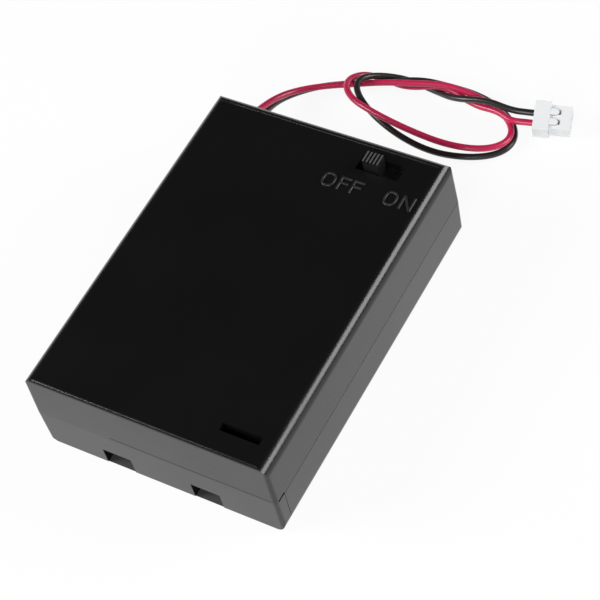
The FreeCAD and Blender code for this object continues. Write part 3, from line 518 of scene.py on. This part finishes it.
def ringBody(name, rings, firstPole, lastPole):
    # a closed body from a row of equal rings of points and a pole at each end
    count, around = rings.shape[:2]
    points = np.concatenate([rings.reshape(-1, 3), [firstPole], [lastPole]])
    i, j = np.meshgrid(np.arange(count - 1), np.arange(around), indexing="ij")
    here, there = i * around, (i + 1) * around
    beside = (j + 1) % around
    sides = np.stack([here + j, here + beside, there + beside, there + j], axis=-1).reshape(-1, 4)
    step = np.arange(around)
    after = (step + 1) % around
    first, last = count * around, count * around + 1
    base = (count - 1) * around
    firstFan = np.stack([np.full(around, first), after, step], axis=1)
    lastFan = np.stack([np.full(around, last), base + step, base + after], axis=1)
    return meshObject(name, points, sides.tolist() + firstFan.tolist() + lastFan.tolist())


def turnedRings(radius, height, turn):
    # rings about the Z axis, one for each row of radius and height
    return pointGrid(radius * np.cos(turn), radius * np.sin(turn), height)


def smoothShade(obj, angle):
    # faces are smooth, and edges sharper than the angle stay sharp
    obj.data.shade_smooth()
    obj.data.set_sharp_from_angle(angle=math.radians(angle))
    return obj


crossScrew = {
    "centre": (0.0, 30.6),           # millimetres
    "seat": 2.2,                     # height of the head's inner face
    "around": 72,
    "sharpAngle": 40,                # degrees
    "headRadius": 2.1, "headHeight": 1.5, "headRim": 0.5, "headBevel": 0.04,
    "faceStart": 0.06, "faceRings": 26, "rimStart": 0.2, "rimRings": 7,
    "recessReach": 1.25, "recessDepth": 0.85, "recessWidth": 0.52, "recessEdge": 0.1,
    "recessPower": 0.7,
    "length": 7.5, "crest": 0.95, "root": 0.72, "neck": 0.2, "pitch": 0.72,
    "ridgeSlope": 3.2, "threadStart": 0.02, "runIn": 0.6, "threadRings": 130,
    "tip": 1.0, "tipShare": 0.25,    # length of the taper, and the radius left at its end
}


def screwFace(settings, turn, face):
    # the head's face: a plane less a cross, whose floor rises from the middle to the ends of its arms
    # as a power of a parabola
    radius = np.linspace(settings["faceStart"], settings["headRadius"] - settings["headRim"],
                         settings["faceRings"])[:, None]
    fromArm = np.minimum(np.abs(radius * np.cos(turn)), np.abs(radius * np.sin(turn)))
    edge = settings["recessEdge"]
    inside = np.clip((settings["recessWidth"] / 2 + edge / 2 - fromArm) / edge, 0, 1)
    bowl = np.clip(1 - (radius / settings["recessReach"]) ** 2, 0, 1) ** settings["recessPower"]
    return turnedRings(radius, face + inside * settings["recessDepth"] * bowl, turn)


def screwHead(settings, turn, face):
    # the head's quarter-round rim, its side, and the flat under it in to the shank
    angle = np.linspace(settings["rimStart"], np.pi / 2, settings["rimRings"])
    full, bevel, seat = settings["headRadius"], settings["headBevel"], settings["seat"]
    radius = np.concatenate([full - settings["headRim"] * (1 - np.sin(angle)),
                             [full, full - bevel, settings["root"] + settings["neck"]]])
    height = np.concatenate([face + settings["headRim"] * (1 - np.cos(angle)),
                             [seat - bevel, seat, seat]])
    return turnedRings(radius[:, None], height[:, None], turn)


def screwShank(settings, turn, top):
    # the radius goes between root and crest as a triangle wave of the height less the turn's share
    # of the pitch, which makes one right-hand thread; it tapers at the tip
    seat = settings["seat"]
    z = np.linspace(seat + settings["threadStart"], top, settings["threadRings"])[:, None]
    share = ((z - seat) / settings["pitch"] - turn / (2 * np.pi)) % 1
    ridge = np.clip(1 - np.abs(share - 0.5) * settings["ridgeSlope"], 0, 1)
    ridge = ridge * np.minimum(1, (z - seat) / settings["runIn"])
    radius = settings["root"] + (settings["crest"] - settings["root"]) * ridge
    taper = settings["tipShare"] + (1 - settings["tipShare"]) * (top - z) / settings["tip"]
    return turnedRings(radius * np.minimum(1, taper), z, turn)


def makeScrew(settings):
    turn = np.linspace(0, 2 * np.pi, settings["around"], endpoint=False)
    face = settings["seat"] - settings["headHeight"]
    top = settings["seat"] + settings["length"]
    x, y = settings["centre"]
    rings = np.concatenate([screwFace(settings, turn, face), screwHead(settings, turn, face),
                            screwShank(settings, turn, top)]) + (x, y, 0)
    # the rings go up from the head, so each is turned round to make the faces point outwards
    return ringBody("crossScrew", rings[:, ::-1], (x, y, face + settings["recessDepth"]), (x, y, top))


screw = smoothShade(makeScrew(crossScrew), crossScrew["sharpAngle"])
linkPiece(screw, "cover", "screw_steel", "lid_screw")
coat(screw, finish["zincScrew"])

solder = {
    "radius": 0.72,                  # millimetres, at a joint's middle
    "core": 0.46,                    # the bared wire's radius
    "half": 0.75,                    # half the length of a joint
    "lumps": (0.08, 0.05),
    "twist": 3,
    "lean": -2,
    "around": 28,
    "along": 22,
    "sharpAngle": 50,
    # each joint is its middle and the axis that its wire lies along
    "joints": {"redTag": ((-12.75, 29.6, 13.3), "x"),
               "blackTerminal": ((11.95, 28.7, 11.2), "x"),
               "jumperTerminal": ((16.75, 28.8, 11.2), "x"),
               "jumperShelf": ((21.85, -31.15, 10.55), "z")},
}


def makeSolder(name, settings, place, axis):
    # a drop around the wire: its radius falls from the middle to the wire's own as a cosine bell,
    # times a lumpiness of one sine with two waves round the wire and one with three
    turn = np.linspace(0, 2 * np.pi, settings["around"], endpoint=False)
    share = np.linspace(-1, 1, settings["along"])[:, None]
    bell = 0.5 + 0.5 * np.cos(np.pi * share)
    two, three = settings["lumps"]
    lump = (1 + two * np.sin(2 * turn + settings["twist"] * share)
            + three * np.sin(3 * turn + settings["lean"]))
    radius = (settings["core"] + (settings["radius"] - settings["core"]) * bell) * lump
    half = settings["half"]
    rings = turnedRings(radius, share * half, turn)
    poles = np.array([(0, 0, -half), (0, 0, half)])
    if axis == "x":
        rings, poles = np.roll(rings, 1, axis=2), np.roll(poles, 1, axis=1)
    return ringBody(name, rings + place, *(poles + place))


for jointName, (jointPlace, jointAxis) in solder["joints"].items():
    drop = smoothShade(makeSolder("solder_" + jointName, solder, jointPlace, jointAxis),
                       solder["sharpAngle"])
    coat(linkPiece(drop, "holder", "tinned_core"), finish["solderTin"])

lance = {
    "from": 2.9, "to": 4.62, "halfWidth": 0.66,        # along and across the plug, millimetres
    "ground": 1.6, "top": 2.06, "endPoints": 18,
    "edge": ((0, 0.1), (0.03, 0.03), (0.1, 0)),        # inset and drop, from the side to the top
    "places": {"lance_red": -1.0, "lance_black": 1.0},
}
# a thin grey slab under each tongue, a little wider at its sides and end, whose rim is painted shade
# for the slot cut round the lance
lanceSlotShade = dict(lance, halfWidth=0.80, to=4.76, top=1.725,
                 edge=((0, 0.03), (0.03, 0.03), (0.1, 0)))


def makeLance(name, across, settings):
    # a tongue whose outline has straight sides and a half-round end, and whose top edge is softened by
    # rings that shrink towards its middle
    half = settings["halfWidth"]
    turn = np.linspace(-np.pi / 2, np.pi / 2, settings["endPoints"])
    end = np.stack([settings["to"] - half + half * np.cos(turn), half * np.sin(turn)], axis=1)
    outline = np.concatenate([[[settings["from"], -half]], end, [[settings["from"], half]]])
    middle = (settings["from"] + settings["to"]) / 2
    inset, drop = np.array(settings["edge"], float).T
    shrink = 1 - np.concatenate([[0], inset])[:, None] / half
    height = np.concatenate([[settings["ground"]], settings["top"] - drop])[:, None]
    local = pointGrid(middle + (outline[:, 0] - middle) * shrink, across + outline[:, 1] * shrink,
                      height)
    place = np.array(plugPlace)
    rings = local @ place[:3, :3].T + place[:3, 3]
    return ringBody(name, rings, inPlug(middle, across, settings["ground"]),
                    inPlug(middle, across, settings["top"]))


for lanceName, lanceAcross in lance["places"].items():
    tongue = linkPiece(makeLance(lanceName, lanceAcross, lance), "holder", "white_nylon")
    coat(tongue, finish["whiteNylon"])
    slotShade = linkPiece(makeLance(lanceName + "_slotShade", lanceAcross, lanceSlotShade), "holder", "white_nylon")
    coat(slotShade, finish["nylonSlotShade"])
print("screw, solder and lances made")

# millimetres; each wave of a fine line is its size, its rate along the line and where it starts
topLine = {
    "from": -23.0, "to": 22.6, "y": 32.62, "level": 19.8,
    "halfWidth": 0.09, "rise": 0.035, "sunk": 0.03, "along": 46, "across": 7,
    "sway": 0.02, "waves": ((1, 9, 0), (0.6, 23, 1)), "fadeIn": 12, "fadeOut": 12,
}
partingLine = {
    "from": -9.0, "to": 23.5, "height": 9.9, "seam": 9.3, "front": -34.5, "lean": 0.0148,
    "halfWidth": 0.09, "rise": 0.007, "sunk": 0.03, "along": 60, "across": 7,
    "sway": 0.03, "waves": ((1, 7, 2), (0.5, 19, 0)), "fadeIn": 2.2, "fadeOut": 12,
}


def fineLine(settings):
    # x along a fine ridge, how far each of its points lies from its level line, and how high its arch
    # stands: rise * (1 - offset^2), faded at both ends; its middle sways as a sum of sines
    share = np.linspace(0, 1, settings["along"])[:, None]
    offsets = np.linspace(-1, 1, settings["across"])
    x = settings["from"] + (settings["to"] - settings["from"]) * share
    waves = sum(size * np.sin(rate * share + start) for size, rate, start in settings["waves"])
    fade = np.minimum(1, np.minimum(settings["fadeIn"] * share, settings["fadeOut"] * (1 - share)))
    arch = settings["rise"] * fade * (1 - offsets ** 2)
    return x, settings["sway"] * waves + offsets * settings["halfWidth"], arch


def makeTopLine(settings):
    # a fine raised line across the top near the back edge, with a flat foot under the surface; it is
    # coated paler as a painted highlight line
    x, stray, arch = fineLine(settings)
    upper = pointGrid(x, settings["y"] + stray, settings["level"] + arch)
    foot = settings["level"] - settings["sunk"]
    rings = np.concatenate([upper, upper[:, ::-1] * (1, 1, 0) + (0, 0, foot)], axis=1)
    middle = settings["level"] - settings["sunk"] / 2
    return ringBody("topLine", rings[:, ::-1], (settings["from"], settings["y"], middle),
                    (settings["to"], settings["y"], middle))


def makePartingLine(settings):
    # a fine ridge along the front just above the seam, on the front's draft: the face lies back by
    # lean for each millimetre above the seam
    x, stray, arch = fineLine(settings)
    height = settings["height"] + stray
    outer = pointGrid(x, settings["front"] + settings["lean"] * (height - settings["seam"]) - arch,
                      height)
    rings = np.concatenate([outer, outer[:, ::-1] + (0, settings["sunk"], 0)], axis=1)
    face = settings["front"] + settings["lean"] * (settings["height"] - settings["seam"])
    deep = face + settings["sunk"] / 2
    return ringBody("partingLine", rings[:, ::-1], (settings["from"], deep, settings["height"]),
                    (settings["to"], deep, settings["height"]))


parting = linkPiece(makePartingLine(partingLine), "holder", "black_moulding")
coat(parting, finish["seamShadow"])
# the top line's paler coat is a painted highlight along the top near its back edge
topHighlightLine = linkPiece(makeTopLine(topLine), "holder", "black_moulding")
coat(topHighlightLine, finish["paintedHighlightMoulding"])
print("lines on the top and front made")

studio = {
    "floorSize": 1600.0,             # millimetres
    "floorDrop": 0.02,               # keeps the floor clear of the box's underside
    "floorColour": (0.9, 0.9, 0.9),
    "floorRoughness": 0.9,
    "floorSpecular": 0.1,
    "floorGlow": 1.0,
    "floorShare": 0.92,              # how much of the floor's look is plain white glow
    "worldStrength": 0.05,
    # the floor that shows through the notches at the foot of the front wall, where the glow is cut out
    # as painted shade under the tongues, millimetres
    "notch": {"Middle X": 9.05, "Half X": 6.7, "Middle Y": -32.0, "Half Y": 2.2},
}


def makeNotchShadeGroup(labels):
    # 1 on the floor in the two notches and 0 elsewhere: |x| and y both lie within their half size of
    # a notch's middle
    group, start, end = newGroup("notchShadeMask", labels, {"Mask": "NodeSocketFloat"})
    axes = group.nodes.new("ShaderNodeSeparateXYZ")
    group.links.new(start.outputs["Vector"], axes.inputs["Vector"])
    inX = mathNode(group, "COMPARE", mathNode(group, "ABSOLUTE", axes.outputs["X"]),
                   start.outputs["Middle X"], start.outputs["Half X"])
    inY = mathNode(group, "COMPARE", axes.outputs["Y"],
                   start.outputs["Middle Y"], start.outputs["Half Y"])
    group.links.new(mathNode(group, "MULTIPLY", inX, inY), end.inputs["Mask"])
    return group


def makePaper(settings):
    # white paper: the camera and mirrors see mostly a glow, which goes out in the notches as a painted
    # shade, and the rest is a matt surface that takes the shadow
    material, tree, shader = newMaterial("paperFloor")
    shader.inputs["Base Color"].default_value = (*settings["floorColour"], 1)
    shader.inputs["Roughness"].default_value = settings["floorRoughness"]
    shader.inputs["Specular IOR Level"].default_value = settings["floorSpecular"]
    rays = tree.nodes.new("ShaderNodeLightPath")
    seen = mathNode(tree, "MAXIMUM", rays.outputs["Is Camera Ray"], rays.outputs["Is Glossy Ray"])
    notch = placeGroup(tree, makeNotchShadeGroup(settings["notch"]),
                       {label: value * mm for label, value in settings["notch"].items()})
    glow = tree.nodes.new("ShaderNodeEmission")
    glow.inputs["Color"].default_value = (1, 1, 1, 1)
    tree.links.new(mathNode(tree, "MULTIPLY_ADD", notch.outputs["Mask"], -settings["floorGlow"],
                            settings["floorGlow"]), glow.inputs["Strength"])
    mix = tree.nodes.new("ShaderNodeMixShader")
    tree.links.new(mathNode(tree, "MULTIPLY", seen, settings["floorShare"]), mix.inputs["Fac"])
    tree.links.new(shader.outputs["BSDF"], mix.inputs[1])
    tree.links.new(glow.outputs["Emission"], mix.inputs[2])
    tree.links.new(mix.outputs["Shader"], tree.nodes["Material Output"].inputs["Surface"])
    return material


def makeFloor(settings):
    mesh = bpy.data.meshes.new("studioFloor")
    half = settings["floorSize"] * mm / 2
    mesh.from_pydata([(-half, -half, 0), (half, -half, 0), (half, half, 0), (-half, half, 0)], [],
                     [(0, 1, 2, 3)])
    floor = bpy.data.objects.new("studioFloor", mesh)
    bpy.context.scene.collection.objects.link(floor)
    floor.location.z = -settings["floorDrop"] * mm
    mesh.materials.append(makePaper(settings))


def makeWorld(settings):
    # the camera sees white, and the object gets only the weak strength
    world = bpy.data.worlds.new("studioWorld")
    bpy.context.scene.world = world
    world.use_nodes = True
    tree = world.node_tree
    weak = tree.nodes["Background"]
    weak.inputs["Strength"].default_value = settings["worldStrength"]
    weak.inputs["Color"].default_value = (1, 1, 1, 1)
    white = tree.nodes.new("ShaderNodeBackground")
    white.inputs["Color"].default_value = (1, 1, 1, 1)
    rays = tree.nodes.new("ShaderNodeLightPath")
    mix = tree.nodes.new("ShaderNodeMixShader")
    tree.links.new(rays.outputs["Is Camera Ray"], mix.inputs["Fac"])
    tree.links.new(weak.outputs["Background"], mix.inputs[1])
    tree.links.new(white.outputs["Background"], mix.inputs[2])
    tree.links.new(mix.outputs["Shader"], tree.nodes["World Output"].inputs["Surface"])


# places and sizes in metres, power in watts; every lamp points at the origin
lamps = {
    "rimLamp": {"place": (0.82, 0.46, 0.46), "size": (0.6, 0.52), "power": 7.2},
    "leftLamp": {"place": (-0.75, -0.48, 0.58), "size": (0.45, 0.45), "power": 9.0},
    "frontLamp": {"place": (0.30, -0.95, 0.62), "size": (0.5, 0.5), "power": 8.2},
}


def makeLamps(settings):
    for name, lamp in settings.items():
        data = bpy.data.lights.new(name, "AREA")
        data.shape = "RECTANGLE"
        data.size, data.size_y = lamp["size"]
        data.energy = lamp["power"]
        obj = bpy.data.objects.new(name, data)
        obj.location = lamp["place"]
        obj.rotation_euler = (-Vector(lamp["place"])).to_track_quat("-Z", "Y").to_euler()
        bpy.context.scene.collection.objects.link(obj)


makeFloor(studio)
makeWorld(studio)
makeLamps(lamps)
bpy.context.scene.view_settings.view_transform = "Standard"
print("studio lit")

bpy.context.view_layer.update()
